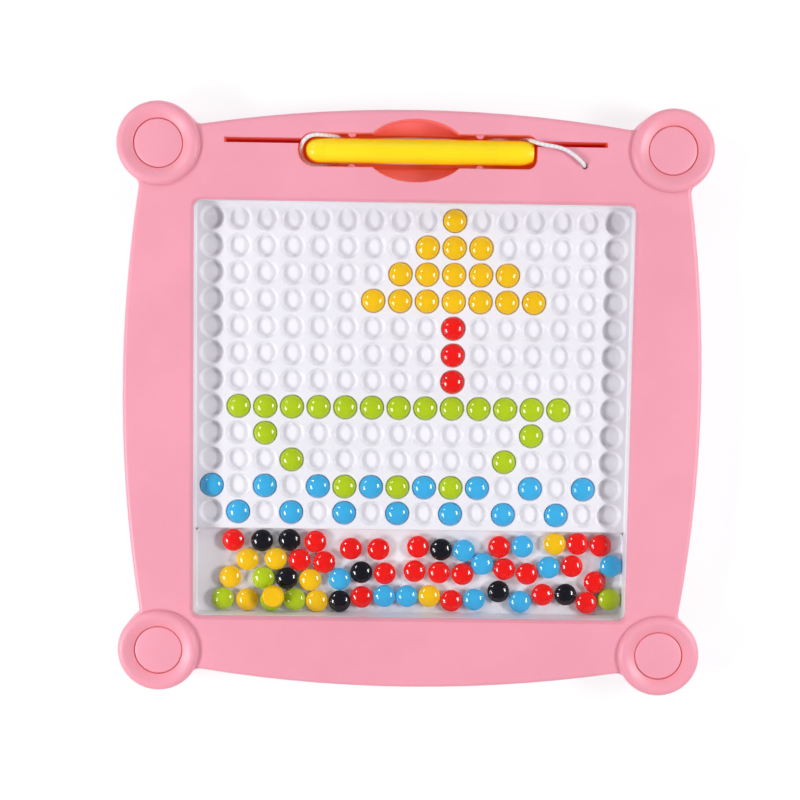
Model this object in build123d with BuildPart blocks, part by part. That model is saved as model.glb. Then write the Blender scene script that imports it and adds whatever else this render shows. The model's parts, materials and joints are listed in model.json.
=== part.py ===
# Magnetic bead drawing board: a pink two-part case with a window over a dimpled bead board,
# a magnetic pen on a cord, and flat round beads, some set out as a boat and some loose in a tray.
# Millimetres. The board lies flat with +Z up and +Y towards the pen's edge, and the origin is
# under the middle of the case, at the height of the feet.
import os
from math import asin, cos, pi, radians, sin, tan

from build123d import *

os.makedirs("parts", exist_ok=True)

# ---- driving sizes -----------------------------------------------------------------------------
# beads
bead_diameter = 11.6
bead_height = 5.2
bead_foot_inset = 0.9  # how much less the radius is at the flat underside
bead_belly_low = 1.8
bead_belly_high = 2.6
core_radius = 3.0
core_thickness = 1.4
core_inset = 0.1
core_gap = 0.05

# bead board
columns = 16
rows = 12
pitch_ratio = 1.1853  # dimple spacing in bead diameters
dimple_depth = 2.7
dimple_floor_gap = 0.3
dimple_mouth_gap = 0.65
side_margin = 1.5
top_margin = 1.4
ledge_margin = 1.9
tray_rows = 3.83  # tray length in bead diameters
tray_floor = 1.7
board_wall = 1.5
plate_thickness = 4.2
plate_above_cover = 6.5
chamber_corner = 4.0
chamber_shift = -4.95  # middle of the bead chamber from the middle of the case
rest_gap = 0.1  # under a bead that lies in a dimple or in the tray
pick = 0.01  # how near an edge must be to the place where it is looked for

# case, seen from above
frame_width = 38.5  # from the chamber's side to the outside of a corner disc
disc_radius = 21.0
side_inset = 2.4  # how far the middle of a side stays inside the discs' outer line
side_sag = 12.0  # how far a side curves back by the time it reaches a disc
wall = 2.2
web_radius = 5.0  # small web where a side runs into a disc

# case, heights
foot_proud = 1.5
cover_thickness = 2.0
window_above_cover = 12.2  # underside of the window above the parting line
shell_edge_radius = 2.5
cover_edge_radius = 1.2
disc_rise = 2.8  # ridge of a corner disc above the flat top
disc_edge_radius = 3.2
ridge_inset = 4.2

# corner caps
cap_radius = 12.1
cap_groove = 0.4
cap_edge = 1.4
cap_crown = 0.9
cap_seat_depth = 0.6
peg_radius = 1.2
peg_length = 1.5
peg_circle = 8.0
peg_gap = 0.05

# window
window_thickness = 1.5
window_land = 3.5  # how far the sheet reaches under the frame
window_slack = 0.1
window_bevel = 1.5
rib_thickness = 1.2
rib_depth = 3.8
fit_gap = 0.3

# pen
pen_radius = 6.25
pen_length = 115.0
pen_middle = 1.9
pen_wall = 1.25
pen_under_gap = 2.55  # room for the cord between the pen and the recess floor
tip_radius = 4.8
taper_length = 7.5
nose_length = 9.6
tail_length = 19.4
spigot_length = 6.0
spigot_gap = 0.05
nose_tip_wall = 2.55
magnet_radius = 4.0
magnet_length = 5.0
eye_length = 6.0
eye_width = 4.0
eye_from_end = 7.2

# pen recess, finger scoop and card slot in the frame
recess_from_side = 20.4  # its middle line, in from the middle of the far side
recess_side_gap = 2.2
recess_left_gap = 3.7
recess_right_gap = 1.6
recess_corner = 5.0
pocket_wall = 1.5
scoop_half_length = 25.9
scoop_half_width = 15.6
scoop_depth = 11.0
rim_round = 0.8
nub_x = 32.3
nub_radius = 2.0
nub_gap = 0.4
nub_height = 4.5
nub_drop = 1.0  # middle of a nub below the pen's axis
saddle_x = 30.0
saddle_length = 6.0
saddle_width = 5.0
saddle_gap = 0.1
saddle_cheek = 0.6  # how far a saddle's edges reach up beside the pen
slot_half_length = 96.2
slot_width = 2.7
slot_depth = 12.5
slot_above_recess = 4.1

# screws and feet
boss_radius = 3.6
pilot_radius = 1.25
pilot_depth = 8.5
cover_boss_radius = 4.4
hole_gap = 0.3
screw_radius = 1.2
screw_head_radius = 2.7
screw_head_height = 1.7
screw_length = 9.5
head_seat = 2.9  # above the cover's underside
screw_x = 75.0
screw_below_recess = 15.2
lip_height = 2.5
lip_thickness = 1.5
lip_gap = 0.15
boss_above_lip = 0.5
foot_radius = 8.0
foot_seat = 0.5
foot_edge = 0.7
foot_gap = 0.15

# cord
hole_x = 84.9
hole_y = 120.7
cord_radius = 1.0
cord_hole_radius = 1.4
cord_hole_flare = 0.6
knot_radius = 2.2
knot_height = 4.0
knot_round = 1.2

# ---- places and levels worked out from the sizes -----------------------------------------------
bead_radius = bead_diameter / 2
bead_base_radius = bead_radius - bead_foot_inset
pitch = pitch_ratio * bead_diameter
chamber_half = columns * pitch / 2 + side_margin
tray_length = tray_rows * bead_diameter
chamber_length = top_margin + rows * pitch + ledge_margin + tray_length
chamber_top = chamber_shift + chamber_length / 2
chamber_bottom = chamber_shift - chamber_length / 2
ledge = chamber_bottom + tray_length
tray_middle = (ledge + chamber_bottom) / 2
first_row = chamber_top - top_margin - pitch / 2

half_span = chamber_half + frame_width
disc_spot = half_span - disc_radius
disc_spots = [(sx * disc_spot, sy * disc_spot) for sy in (1, -1) for sx in (-1, 1)]
corner_names = ["top_left", "top_right", "bottom_left", "bottom_right"]
side_middle = half_span - side_inset
side_radius = (disc_spot**2 + side_sag**2) / (2 * side_sag)

parting = foot_proud + cover_thickness
shell_height = window_above_cover + window_thickness + window_slack + wall
flat_top = parting + shell_height
wall_under = flat_top - wall
ridge_top = flat_top + disc_rise
plate_top = parting + plate_above_cover
dimple_floor = plate_top - dimple_depth
tray_top = parting + tray_floor
window_top = wall_under - window_slack
window_under = window_top - window_thickness
cap_seat = flat_top - cap_seat_depth

recess_y = side_middle - recess_from_side
recess_half = pen_radius + recess_side_gap
recess_floor = parting + window_slack + pocket_wall
pen_z = recess_floor + pen_under_gap + pen_radius
pen_left = pen_middle - pen_length / 2
pen_right = pen_middle + pen_length / 2
recess_left = pen_left - recess_left_gap
recess_right = pen_right + recess_right_gap
slot_y = recess_y + slot_above_recess
scoop_floor = flat_top - scoop_depth
slot_floor = flat_top - slot_depth
boss_foot = parting + lip_height + boss_above_lip

on_base = (Align.CENTER, Align.CENTER, Align.MIN)
screw_y = recess_y - screw_below_recess
screw_spots = disc_spots + [(-disc_spot, 0), (disc_spot, 0), (0, -disc_spot)]
screw_spots += [(-screw_x, screw_y), (screw_x, screw_y)]


# ---- shapes that several pieces share --------------------------------------------------------
def draw_case(inset):
    """Four curved sides, each an arc of one large circle, and the corner discs."""
    reach = side_radius - side_middle
    with Locations((0, -reach)):
        Circle(side_radius - inset)
    for spot in ((0, reach), (-reach, 0), (reach, 0)):
        with Locations(spot):
            Circle(side_radius - inset, mode=Mode.INTERSECT)
    for x, y in disc_spots:
        with Locations(Location((x, y, 0), (0, 0, 180 if x > 0 else 0))):
            Circle(disc_radius - inset)


def draw_chamber(grow):
    """The inside of the bead chamber, or what surrounds it, as a rounded rectangle."""
    with Locations((0, chamber_shift)):
        RectangleRounded(2 * (chamber_half + grow), chamber_length + 2 * grow, chamber_corner + grow)


def draw_recess(grow):
    """The pen's recess, fully round at its left end."""
    half = recess_half + grow
    middle = recess_left + recess_half
    with Locations((middle, recess_y)):
        Circle(half)
        Rectangle(recess_right + grow - middle, 2 * half, align=(Align.MIN, Align.CENTER))


def draw_scoop(grow):
    """The finger scoop that crosses the recess."""
    with Locations((0, recess_y)):
        Ellipse(scoop_half_length + grow, scoop_half_width + grow)


def draw_slot(grow):
    """The card slot on both sides of the recess."""
    with Locations((0, slot_y)):
        Rectangle(2 * (slot_half_length + grow), slot_width + 2 * grow)


def draw_dome(radius, low, rise):
    """A spherical crown from the edge at this radius up to the axis."""
    ball = (radius**2 + rise**2) / (2 * rise)
    slope = asin(radius / ball) / 2
    middle = (ball * sin(slope), low + rise - ball * (1 - cos(slope)))
    ThreePointArc((radius, low), middle, (0, low + rise))


# ---- case --------------------------------------------------------------------------------------
with BuildPart() as front_frame:
    with BuildSketch(Plane.XY.offset(parting)) as case_outline:
        draw_case(0)
        fillet(case_outline.vertices(), radius=web_radius)
    extrude(amount=shell_height)
    fillet(front_frame.edges().group_by(Axis.Z)[-1], radius=shell_edge_radius)
    outer_rim = front_frame.edges().group_by(Axis.Z)[-1]

    # the openings in the flat top, with their softened rims
    with BuildSketch(Plane.XY.offset(parting)):
        draw_chamber(0)
    extrude(amount=shell_height, mode=Mode.SUBTRACT)
    window_rim = front_frame.edges().group_by(Axis.Z)[-1] - outer_rim
    chamfer(window_rim, length=window_bevel)
    softened_rim = front_frame.edges().group_by(Axis.Z)[-1]
    with BuildSketch(Plane.XY.offset(flat_top)) as pen_opening:
        draw_recess(0)
        fillet(pen_opening.vertices().group_by(Axis.X)[-1], radius=recess_corner)
        draw_scoop(0)
    extrude(amount=-wall, mode=Mode.SUBTRACT)
    pen_rim = front_frame.edges().group_by(Axis.Z)[-1] - softened_rim
    fillet(pen_rim, radius=rim_round)

    # corner discs: a rounded ridge, a funnel and the seat of the cap
    for x, y in disc_spots:
        with BuildSketch(Plane(origin=(x, y, 0), x_dir=(1, 0, 0), z_dir=(0, -1, 0))) as disc_section:
            with BuildLine():
                Polyline(
                    (0, flat_top - shell_edge_radius),
                    (disc_radius, flat_top - shell_edge_radius),
                    (disc_radius, ridge_top),
                    (disc_radius - ridge_inset, ridge_top),
                    (cap_radius + cap_groove, cap_seat + cap_edge),
                    (cap_radius + cap_groove, cap_seat),
                    (0, cap_seat),
                    close=True,
                )
            make_face()
            ridge = disc_section.vertices().group_by(Axis.Z)[-1].sort_by(Axis.X)
            fillet(ridge[-1], radius=disc_edge_radius)
            fillet(ridge[0], radius=rim_round)
        revolve(axis=Axis((x, y, 0), (0, 0, 1)))
    with BuildSketch(Plane.XY.offset(cap_seat)):
        with Locations(*disc_spots):
            Circle(cap_radius + cap_groove)
    extrude(amount=cap_edge, mode=Mode.SUBTRACT)

    # the hollow inside, and the walls and bosses that stand in it
    with BuildSketch(Plane.XY.offset(parting)) as hollow_outline:
        draw_case(wall)
        fillet(hollow_outline.vertices(), radius=web_radius + wall)
    extrude(amount=shell_height - wall, mode=Mode.SUBTRACT)
    with BuildSketch(Plane.XY.offset(wall_under)):
        draw_chamber(window_land + fit_gap + rib_thickness)
        with Locations((0, chamber_shift)):
            Rectangle(
                2 * (chamber_half + window_land + fit_gap),
                chamber_length + 2 * (window_land + fit_gap),
                mode=Mode.SUBTRACT,
            )
    extrude(amount=-rib_depth)
    with BuildSketch(Plane.XY.offset(wall_under)) as recess_block:
        draw_recess(pocket_wall)
        fillet(recess_block.vertices().group_by(Axis.X)[-1], radius=recess_corner + pocket_wall)
    extrude(amount=recess_floor - pocket_wall - wall_under)
    with BuildSketch(Plane.XY.offset(wall_under)):
        draw_scoop(pocket_wall)
    extrude(amount=scoop_floor - pocket_wall - wall_under)
    with BuildSketch(Plane.XY.offset(wall_under)):
        draw_slot(pocket_wall)
    extrude(amount=slot_floor - pocket_wall - wall_under)
    with BuildSketch(Plane.XY.offset(wall_under)):
        with Locations(*screw_spots):
            Circle(boss_radius)
    extrude(amount=boss_foot - wall_under)

    # the pen's recess, the finger scoop and the card slot
    with BuildSketch(Plane.XY.offset(wall_under)) as recess_floor_outline:
        draw_recess(0)
        fillet(recess_floor_outline.vertices().group_by(Axis.X)[-1], radius=recess_corner)
    extrude(amount=recess_floor - wall_under, mode=Mode.SUBTRACT)
    with BuildSketch(Plane.XY.offset(wall_under)):
        draw_scoop(0)
    extrude(amount=scoop_floor - wall_under, mode=Mode.SUBTRACT)
    with BuildSketch(Plane.XY.offset(flat_top)):
        draw_slot(0)
    extrude(amount=-slot_depth, mode=Mode.SUBTRACT)

    # saddles under the pen, and nubs beside it
    with BuildSketch(Plane.XY.offset(recess_floor)):
        with Locations((-saddle_x, recess_y), (saddle_x, recess_y)):
            Rectangle(saddle_length, saddle_width)
    extrude(amount=pen_under_gap + saddle_cheek)
    with BuildSketch(Plane.YZ.offset(-saddle_x - saddle_length)):
        with Locations((recess_y, pen_z)):
            Circle(pen_radius + saddle_gap)
    extrude(amount=2 * (saddle_x + saddle_length), mode=Mode.SUBTRACT)
    nub_y = pen_radius + nub_gap + nub_radius
    with BuildSketch(Plane.XY.offset(pen_z - nub_drop - nub_height / 2)):
        with Locations(*[(sx * nub_x, recess_y + sy * nub_y) for sx in (-1, 1) for sy in (-1, 1)]):
            Circle(nub_radius)
    extrude(amount=nub_height)

    # holes: screw pilots, the pegs of the caps and the cord
    with BuildSketch(Plane.XY.offset(boss_foot)):
        with Locations(*screw_spots):
            Circle(pilot_radius)
    extrude(amount=pilot_depth, mode=Mode.SUBTRACT)
    with BuildSketch(Plane.XY.offset(wall_under)):
        with Locations(*disc_spots):
            with PolarLocations(peg_circle, 3):
                Circle(peg_radius + peg_gap)
    extrude(amount=cap_seat - wall_under, mode=Mode.SUBTRACT)
    with Locations((hole_x, hole_y, wall_under)):
        Cylinder(cord_hole_radius, wall, align=on_base, mode=Mode.SUBTRACT)
    with Locations((hole_x, hole_y, flat_top - cord_hole_flare)):
        Cone(
            cord_hole_radius,
            cord_hole_radius + cord_hole_flare,
            cord_hole_flare,
            align=on_base,
            mode=Mode.SUBTRACT,
        )
front_frame.part.label = "front_frame"
export_step(front_frame.part, "parts/front_frame.step")

with BuildPart() as back_cover:
    with BuildSketch(Plane.XY.offset(foot_proud)) as cover_outline:
        draw_case(0)
        fillet(cover_outline.vertices(), radius=web_radius)
    extrude(amount=cover_thickness)
    fillet(back_cover.edges().group_by(Axis.Z)[0], radius=cover_edge_radius)

    # a lip that locates the cover inside the frame, and a ring round the bead board
    lip_inset = wall + lip_gap
    with BuildSketch(Plane.XY.offset(parting)) as lip_outline:
        draw_case(lip_inset)
        fillet(lip_outline.vertices(), radius=web_radius + lip_inset)
    extrude(amount=lip_height)
    with BuildSketch(Plane.XY.offset(parting)) as lip_inside:
        draw_case(lip_inset + lip_thickness)
        fillet(lip_inside.vertices(), radius=web_radius + lip_inset + lip_thickness)
    extrude(amount=lip_height, mode=Mode.SUBTRACT)
    with BuildSketch(Plane.XY.offset(parting)):
        draw_chamber(board_wall + fit_gap + rib_thickness)
    extrude(amount=lip_height)
    with BuildSketch(Plane.XY.offset(parting)):
        draw_chamber(board_wall + fit_gap)
    extrude(amount=lip_height, mode=Mode.SUBTRACT)

    # screw bosses with counterbores, and seats for the feet
    with BuildSketch(Plane.XY.offset(parting)):
        with Locations(*screw_spots):
            Circle(cover_boss_radius)
    extrude(amount=boss_foot - parting)
    with BuildSketch(Plane.XY.offset(foot_proud)):
        with Locations(*screw_spots):
            Circle(screw_radius + hole_gap)
    extrude(amount=boss_foot - foot_proud, mode=Mode.SUBTRACT)
    with BuildSketch(Plane.XY.offset(foot_proud)):
        with Locations(*screw_spots):
            Circle(screw_head_radius + hole_gap)
    extrude(amount=head_seat, mode=Mode.SUBTRACT)
    with BuildSketch(Plane.XY.offset(foot_proud)):
        with Locations(*disc_spots):
            Circle(foot_radius + foot_gap)
    extrude(amount=foot_seat, mode=Mode.SUBTRACT)
back_cover.part.label = "back_cover"
export_step(back_cover.part, "parts/back_cover.step")

for name, (x, y) in zip(corner_names, disc_spots):
    with BuildPart() as corner_cap:
        with BuildSketch(Plane(origin=(x, y, cap_seat), x_dir=(1, 0, 0), z_dir=(0, -1, 0))):
            with BuildLine():
                Polyline((0, cap_edge + cap_crown), (0, 0), (cap_radius, 0), (cap_radius, cap_edge))
                draw_dome(cap_radius, cap_edge, cap_crown)
            make_face()
        revolve(axis=Axis((x, y, 0), (0, 0, 1)))
        with BuildSketch(Plane.XY.offset(cap_seat)):
            with Locations((x, y)):
                with PolarLocations(peg_circle, 3):
                    Circle(peg_radius)
        extrude(amount=-peg_length)
    corner_cap.part.label = "corner_cap_" + name
    export_step(corner_cap.part, "parts/corner_cap_" + name + ".step")

    with BuildPart() as rubber_foot:
        with Locations((x, y, 0)):
            Cylinder(foot_radius, foot_proud + foot_seat, align=on_base)
        fillet(rubber_foot.edges().group_by(Axis.Z)[0], radius=foot_edge)
    rubber_foot.part.label = "rubber_foot_" + name
    export_step(rubber_foot.part, "parts/rubber_foot_" + name + ".step")

with BuildPart() as case_screws:
    with Locations(*[(x, y, foot_proud + head_seat) for x, y in screw_spots]):
        Cylinder(screw_head_radius, screw_head_height, align=(Align.CENTER, Align.CENTER, Align.MAX))
        Cylinder(screw_radius, screw_length, align=on_base)
case_screws.part.label = "case_screws"
export_step(case_screws.part, "parts/case_screws.step")

with BuildPart() as clear_window:
    with BuildSketch(Plane.XY.offset(window_under)):
        draw_chamber(window_land)
    extrude(amount=window_thickness)
clear_window.part.label = "clear_window"
export_step(clear_window.part, "parts/clear_window.step")

# ---- bead board --------------------------------------------------------------------------------
with BuildPart() as bead_board:
    with BuildSketch(Plane.XY.offset(parting)):
        draw_chamber(board_wall)
    extrude(amount=window_under - window_slack - parting)
    with BuildSketch(Plane.XY.offset(plate_top)):
        draw_chamber(0)
    extrude(amount=window_under - plate_top, mode=Mode.SUBTRACT)

    # the tray below the ledge, then the hollow under the dimpled plate with its three ribs
    with BuildSketch(Plane.XY.offset(tray_top)):
        draw_chamber(0)
        with Locations((0, ledge)):
            Rectangle(
                2 * (chamber_half + board_wall),
                chamber_length,
                align=(Align.CENTER, Align.MIN),
                mode=Mode.SUBTRACT,
            )
    extrude(amount=plate_top - tray_top, mode=Mode.SUBTRACT)

    brow = bead_board.edges().filter_by(Axis.X).filter_by_position(Axis.Y, ledge - pick, ledge + pick)
    fillet(brow.sort_by(Axis.Z)[-1], radius=rim_round)
    hollow_length = chamber_top - ledge - board_wall
    with BuildSketch(Plane.XY.offset(parting)):
        with Locations((0, chamber_top)):
            Rectangle(2 * chamber_half, hollow_length, align=(Align.CENTER, Align.MAX))
        with Locations((0, chamber_top - hollow_length / 2)):
            with GridLocations(chamber_half / 2, 0, 3, 1):
                Rectangle(board_wall, hollow_length, mode=Mode.SUBTRACT)
    extrude(amount=plate_above_cover - plate_thickness, mode=Mode.SUBTRACT)

    with Locations((0, first_row - (rows - 1) * pitch / 2, dimple_floor)):
        with GridLocations(pitch, pitch, columns, rows):
            Cone(
                bead_base_radius + dimple_floor_gap,
                bead_radius + dimple_mouth_gap,
                dimple_depth,
                align=on_base,
                mode=Mode.SUBTRACT,
            )
bead_board.part.label = "bead_board"
export_step(bead_board.part, "parts/bead_board.step")

# ---- beads -------------------------------------------------------------------------------------
# One bead: a domed disc with a pocket in its flat underside, and the steel disc in the pocket.
with BuildPart() as bead:
    with BuildSketch(Plane.XZ):
        with BuildLine():
            Polyline(
                (0, bead_height),
                (0, core_inset + core_thickness),
                (core_radius + core_gap, core_inset + core_thickness),
                (core_radius + core_gap, 0),
                (bead_base_radius, 0),
                (bead_radius, bead_belly_low),
                (bead_radius, bead_belly_high),
            )
            draw_dome(bead_radius, bead_belly_high, bead_height - bead_belly_high)
        make_face()
    revolve(axis=Axis.Z)

with BuildPart() as core:
    with Locations((0, 0, core_inset)):
        Cylinder(core_radius, core_thickness, align=on_base)

# The boat, by dimple: row from the top, then the columns from the left.
picture = {
    "sail_yellow": {1: [10], 2: [9, 10, 11], 3: [8, 9, 10, 11, 12], 4: [7, 8, 9, 10, 11, 12, 13]},
    "mast_red": {5: [10], 6: [10], 7: [10]},
    "hull_green": {8: range(2, 15), 9: [3, 13], 10: [4, 12], 11: [6, 8, 10]},
    "waves_blue": {11: range(1, 16, 2), 12: range(2, 15, 2)},
}

# The loose beads, by colour: places in bead diameters from the middle of the tray.
loose = {
    "tray_red": [
        (-7.94, 1.34), (-4.25, 1.31), (-2.65, 1.01), (-1.41, 1.0), (0.37, 1.13), (4.03, 1.17),
        (7.56, 1.35), (8.59, 1.28), (-4.95, 0.47), (-3.84, 0.38), (4.28, 0.16), (5.31, -0.04),
        (7.32, 0.33), (-1.11, -0.1), (0.23, 0.02), (1.34, -0.03), (2.39, -0.09), (8.38, -0.39),
        (-2.14, -1.19), (1.91, -1.32), (6.03, -0.99), (8.03, -1.34),
    ],
    "tray_black": [
        (-6.65, 1.33), (-5.42, 1.37), (1.41, 1.02), (-5.53, -0.38), (-2.17, -0.06), (-3.14, -1.4),
        (4.03, -0.87), (7.07, -0.97),
    ],
    "tray_blue": [
        (2.44, 0.98), (5.07, 1.2), (3.28, 0.39), (6.28, 0.26), (9.09, 0.36), (-3.15, -0.38),
        (-1.12, -1.14), (-0.1, -1.13), (2.94, -1.25), (5.02, -1.33),
    ],
    "tray_yellow": [
        (6.53, 1.34), (-7.29, 0.47), (-6.02, 0.51), (-8.07, -0.34), (-4.47, -0.43), (-7.3, -1.37),
        (-4.16, -1.4), (0.91, -1.12),
    ],
    "tray_green": [(-6.58, -0.37), (-8.4, -1.34), (-5.17, -1.34), (9.05, -1.17)],
    "under_bead": [(-6.22, -1.39)],
}
stacked = (-6.09, -1.1)  # one yellow bead lies upside down on the green one
stack_drop = 0.35  # how far it sinks beside the top of the dome under it

bead_places = {}
for name, pattern in picture.items():
    bead_places[name] = [
        Location(((c - (columns + 1) / 2) * pitch, first_row - (r - 1) * pitch, dimple_floor + rest_gap))
        for r, line in pattern.items()
        for c in line
    ]
for name, spots in loose.items():
    bead_places[name] = [
        Location((bead_diameter * u, tray_middle + bead_diameter * v, tray_top + rest_gap))
        for u, v in spots
    ]
stack_x = bead_diameter * stacked[0]
stack_y = tray_middle + bead_diameter * stacked[1]
stack_z = tray_top + rest_gap + 2 * bead_height - stack_drop
bead_places["stacked_bead"] = [Location((stack_x, stack_y, stack_z), (180, 0, 0))]

for name, places in bead_places.items():
    with BuildPart() as bead_group:
        with Locations(*places):
            add(bead.part)
    bead_group.part.label = name
    export_step(bead_group.part, "parts/" + name + ".step")

    with BuildPart() as core_group:
        with Locations(*places):
            add(core.part)
    core_group.part.label = name + "_steel"
    export_step(core_group.part, "parts/" + name + "_steel.step")

# ---- pen ---------------------------------------------------------------------------------------
pen_axis = Axis((0, recess_y, pen_z), (1, 0, 0))
pen_section = Plane(origin=(0, recess_y, pen_z), x_dir=(1, 0, 0), z_dir=(0, -1, 0))
bore_radius = pen_radius - pen_wall
spigot_radius = bore_radius - spigot_gap
nose_end = pen_left + nose_length
tail_start = pen_right - tail_length
dome_middle = pen_left + pen_radius
magnet_start = pen_left + nose_tip_wall

with BuildPart() as pen_barrel:
    with BuildSketch(Plane.YZ.offset(nose_end)):
        with Locations((recess_y, pen_z)):
            Circle(pen_radius)
            Circle(bore_radius, mode=Mode.SUBTRACT)
    extrude(amount=tail_start - nose_end)
pen_barrel.part.label = "pen_barrel"
export_step(pen_barrel.part, "parts/pen_barrel.step")

with BuildPart() as pen_nose:
    with BuildSketch(pen_section):
        with BuildLine():
            CenterArc((dome_middle, 0), pen_radius, 90, 90)
            Polyline(
                (dome_middle, pen_radius),
                (nose_end, pen_radius),
                (nose_end, spigot_radius),
                (nose_end + spigot_length, spigot_radius),
                (nose_end + spigot_length, magnet_radius + spigot_gap),
                (magnet_start, magnet_radius + spigot_gap),
                (magnet_start, 0),
                (pen_left, 0),
            )
        make_face()
    revolve(axis=pen_axis)
pen_nose.part.label = "pen_nose"
export_step(pen_nose.part, "parts/pen_nose.step")

with BuildPart() as pen_magnet:
    with BuildSketch(Plane.YZ.offset(magnet_start)):
        with Locations((recess_y, pen_z)):
            Circle(magnet_radius)
    extrude(amount=magnet_length)
pen_magnet.part.label = "pen_magnet"
export_step(pen_magnet.part, "parts/pen_magnet.step")

with BuildPart() as pen_tail_cap:
    cavity_radius = tip_radius - pen_wall
    taper_start = pen_right - taper_length
    with BuildSketch(pen_section):
        with BuildLine():
            Polyline(
                (pen_right, tip_radius),
                (pen_right, 0),
                (pen_right - wall, 0),
                (pen_right - wall, cavity_radius),
                (tail_start - spigot_length, cavity_radius),
                (tail_start - spigot_length, spigot_radius),
                (tail_start, spigot_radius),
                (tail_start, pen_radius),
                (taper_start, pen_radius),
            )
            TangentArc((taper_start, pen_radius), (pen_right, tip_radius), tangent=(1, 0))
        make_face()
    revolve(axis=pen_axis)
    fillet(pen_tail_cap.edges().group_by(Axis.X)[-1], radius=rim_round)
    with BuildSketch(Plane.XY.offset(pen_z - cavity_radius / 2)):
        with Locations((pen_right - eye_from_end, recess_y)):
            SlotOverall(eye_length, eye_width)
    extrude(amount=-2 * pen_radius, mode=Mode.SUBTRACT)
pen_tail_cap.part.label = "pen_tail_cap"
export_step(pen_tail_cap.part, "parts/pen_tail_cap.step")

# ---- cord --------------------------------------------------------------------------------------
# From its knot under the frame the cord comes up through the hole, lies across the frame, dives
# past the pen's tail, runs under the pen's far flank with one low bump, rises to go round the
# pen's nose, and comes back under the near flank to the eye in the tail cap.
cord_route = [
    (84.9, 120.7, 15.6),
    (84.9, 120.7, 21.0),
    (80.3, 125.3, 20.9),
    (73.2, 129.6, 20.8),
    (62.4, 130.9, 21.8),
    (58.4, 132.9, 18.9),
    (56.6, 134.3, 12.6),
    (50.2, 134.0, 8.0),
    (43.8, 134.2, 8.9),
    (38.0, 134.0, 9.2),
    (32.0, 132.2, 7.0),
    (21.0, 133.7, 6.35),
    (7.0, 134.2, 6.3),
    (-8.0, 134.2, 6.35),
    (-21.0, 133.4, 6.35),
    (-31.5, 132.5, 6.4),
    (-36.8, 133.7, 8.0),
    (-40.6, 134.55, 12.5),
    (-45.0, 134.55, 17.2),
    (-53.2, 134.5, 19.6),
    (-58.1, 130.0, 16.8),
    (-58.1, 124.0, 12.0),
    (-53.8, 120.0, 8.0),
    (-46.0, 120.9, 6.5),
    (-34.0, 122.6, 6.3),
    (-20.0, 122.5, 6.3),
    (-6.0, 122.2, 6.3),
    (8.0, 122.6, 6.35),
    (20.0, 123.2, 6.3),
    (32.0, 123.3, 6.3),
    (43.0, 124.6, 6.35),
    (53.2, 127.2, 6.4),
    (53.2, 127.2, 12.0),
]
run_share = 0.45  # of the shorter run, taken by the arc at each corner


def corner_radii(points):
    """The radius of each corner's arc, from its shorter run and the angle it turns."""
    radii = []
    for before, here, after in zip(points, points[1:], points[2:]):
        arriving = Vector(*here) - Vector(*before)
        leaving = Vector(*after) - Vector(*here)
        turn = arriving.get_angle(leaving)
        shorter = min(arriving.length, leaving.length)
        radii.append(run_share * shorter / tan(radians(turn / 2)))
    return radii


cord_radii = corner_radii(cord_route)
print("cord corner radii", [round(r, 1) for r in cord_radii])

with BuildPart() as pen_cord:
    with BuildLine() as cord_line:
        FilletPolyline(*cord_route, radius=cord_radii)
    with BuildSketch(Plane(origin=cord_line.line @ 0, z_dir=cord_line.line % 0)):
        Circle(cord_radius)
    sweep()
cord_length = sum(edge.length for edge in cord_line.edges())
print("cord length", round(cord_length, 1))
print("cord volume", round(pen_cord.part.volume, 1), "of", round(pi * cord_radius**2 * cord_length, 1))
pen_cord.part.label = "pen_cord"
export_step(pen_cord.part, "parts/pen_cord.step")

knot_spots = {
    "cord_knot": (hole_x, hole_y, cord_route[0][2] - knot_height),
    "pen_knot": cord_route[-1],
}
for name, spot in knot_spots.items():
    with BuildPart() as knot:
        with Locations(spot):
            Cylinder(knot_radius, knot_height, align=on_base)
        fillet(knot.edges().filter_by(GeomType.CIRCLE), radius=knot_round)
    knot.part.label = name
    export_step(knot.part, "parts/" + name + ".step")
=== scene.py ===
import json
import math

import bpy
import numpy as np
from mathutils import Matrix, Vector

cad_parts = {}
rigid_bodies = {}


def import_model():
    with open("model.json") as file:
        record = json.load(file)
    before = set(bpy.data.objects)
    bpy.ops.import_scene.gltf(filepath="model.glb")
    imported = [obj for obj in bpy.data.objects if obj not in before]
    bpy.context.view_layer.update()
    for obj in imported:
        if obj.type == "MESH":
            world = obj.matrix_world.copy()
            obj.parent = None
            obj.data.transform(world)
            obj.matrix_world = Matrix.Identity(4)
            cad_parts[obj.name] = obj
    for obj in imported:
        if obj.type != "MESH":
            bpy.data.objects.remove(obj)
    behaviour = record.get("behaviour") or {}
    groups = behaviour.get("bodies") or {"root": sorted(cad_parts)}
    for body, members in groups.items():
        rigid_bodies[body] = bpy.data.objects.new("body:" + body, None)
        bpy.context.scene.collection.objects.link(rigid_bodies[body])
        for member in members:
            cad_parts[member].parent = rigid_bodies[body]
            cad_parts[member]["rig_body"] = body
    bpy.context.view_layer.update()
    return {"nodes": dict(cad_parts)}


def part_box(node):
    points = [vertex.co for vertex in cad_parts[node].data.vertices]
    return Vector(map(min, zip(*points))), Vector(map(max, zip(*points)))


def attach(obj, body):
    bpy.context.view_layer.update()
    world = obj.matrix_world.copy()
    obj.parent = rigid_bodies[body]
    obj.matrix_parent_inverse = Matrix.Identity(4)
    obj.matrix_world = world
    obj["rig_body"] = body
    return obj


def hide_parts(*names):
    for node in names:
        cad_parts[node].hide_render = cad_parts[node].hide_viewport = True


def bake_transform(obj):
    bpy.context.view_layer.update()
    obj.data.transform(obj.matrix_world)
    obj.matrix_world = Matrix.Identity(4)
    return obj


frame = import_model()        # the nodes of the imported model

nodes = frame["nodes"]
mm = 0.001
print("frame loaded")


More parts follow.
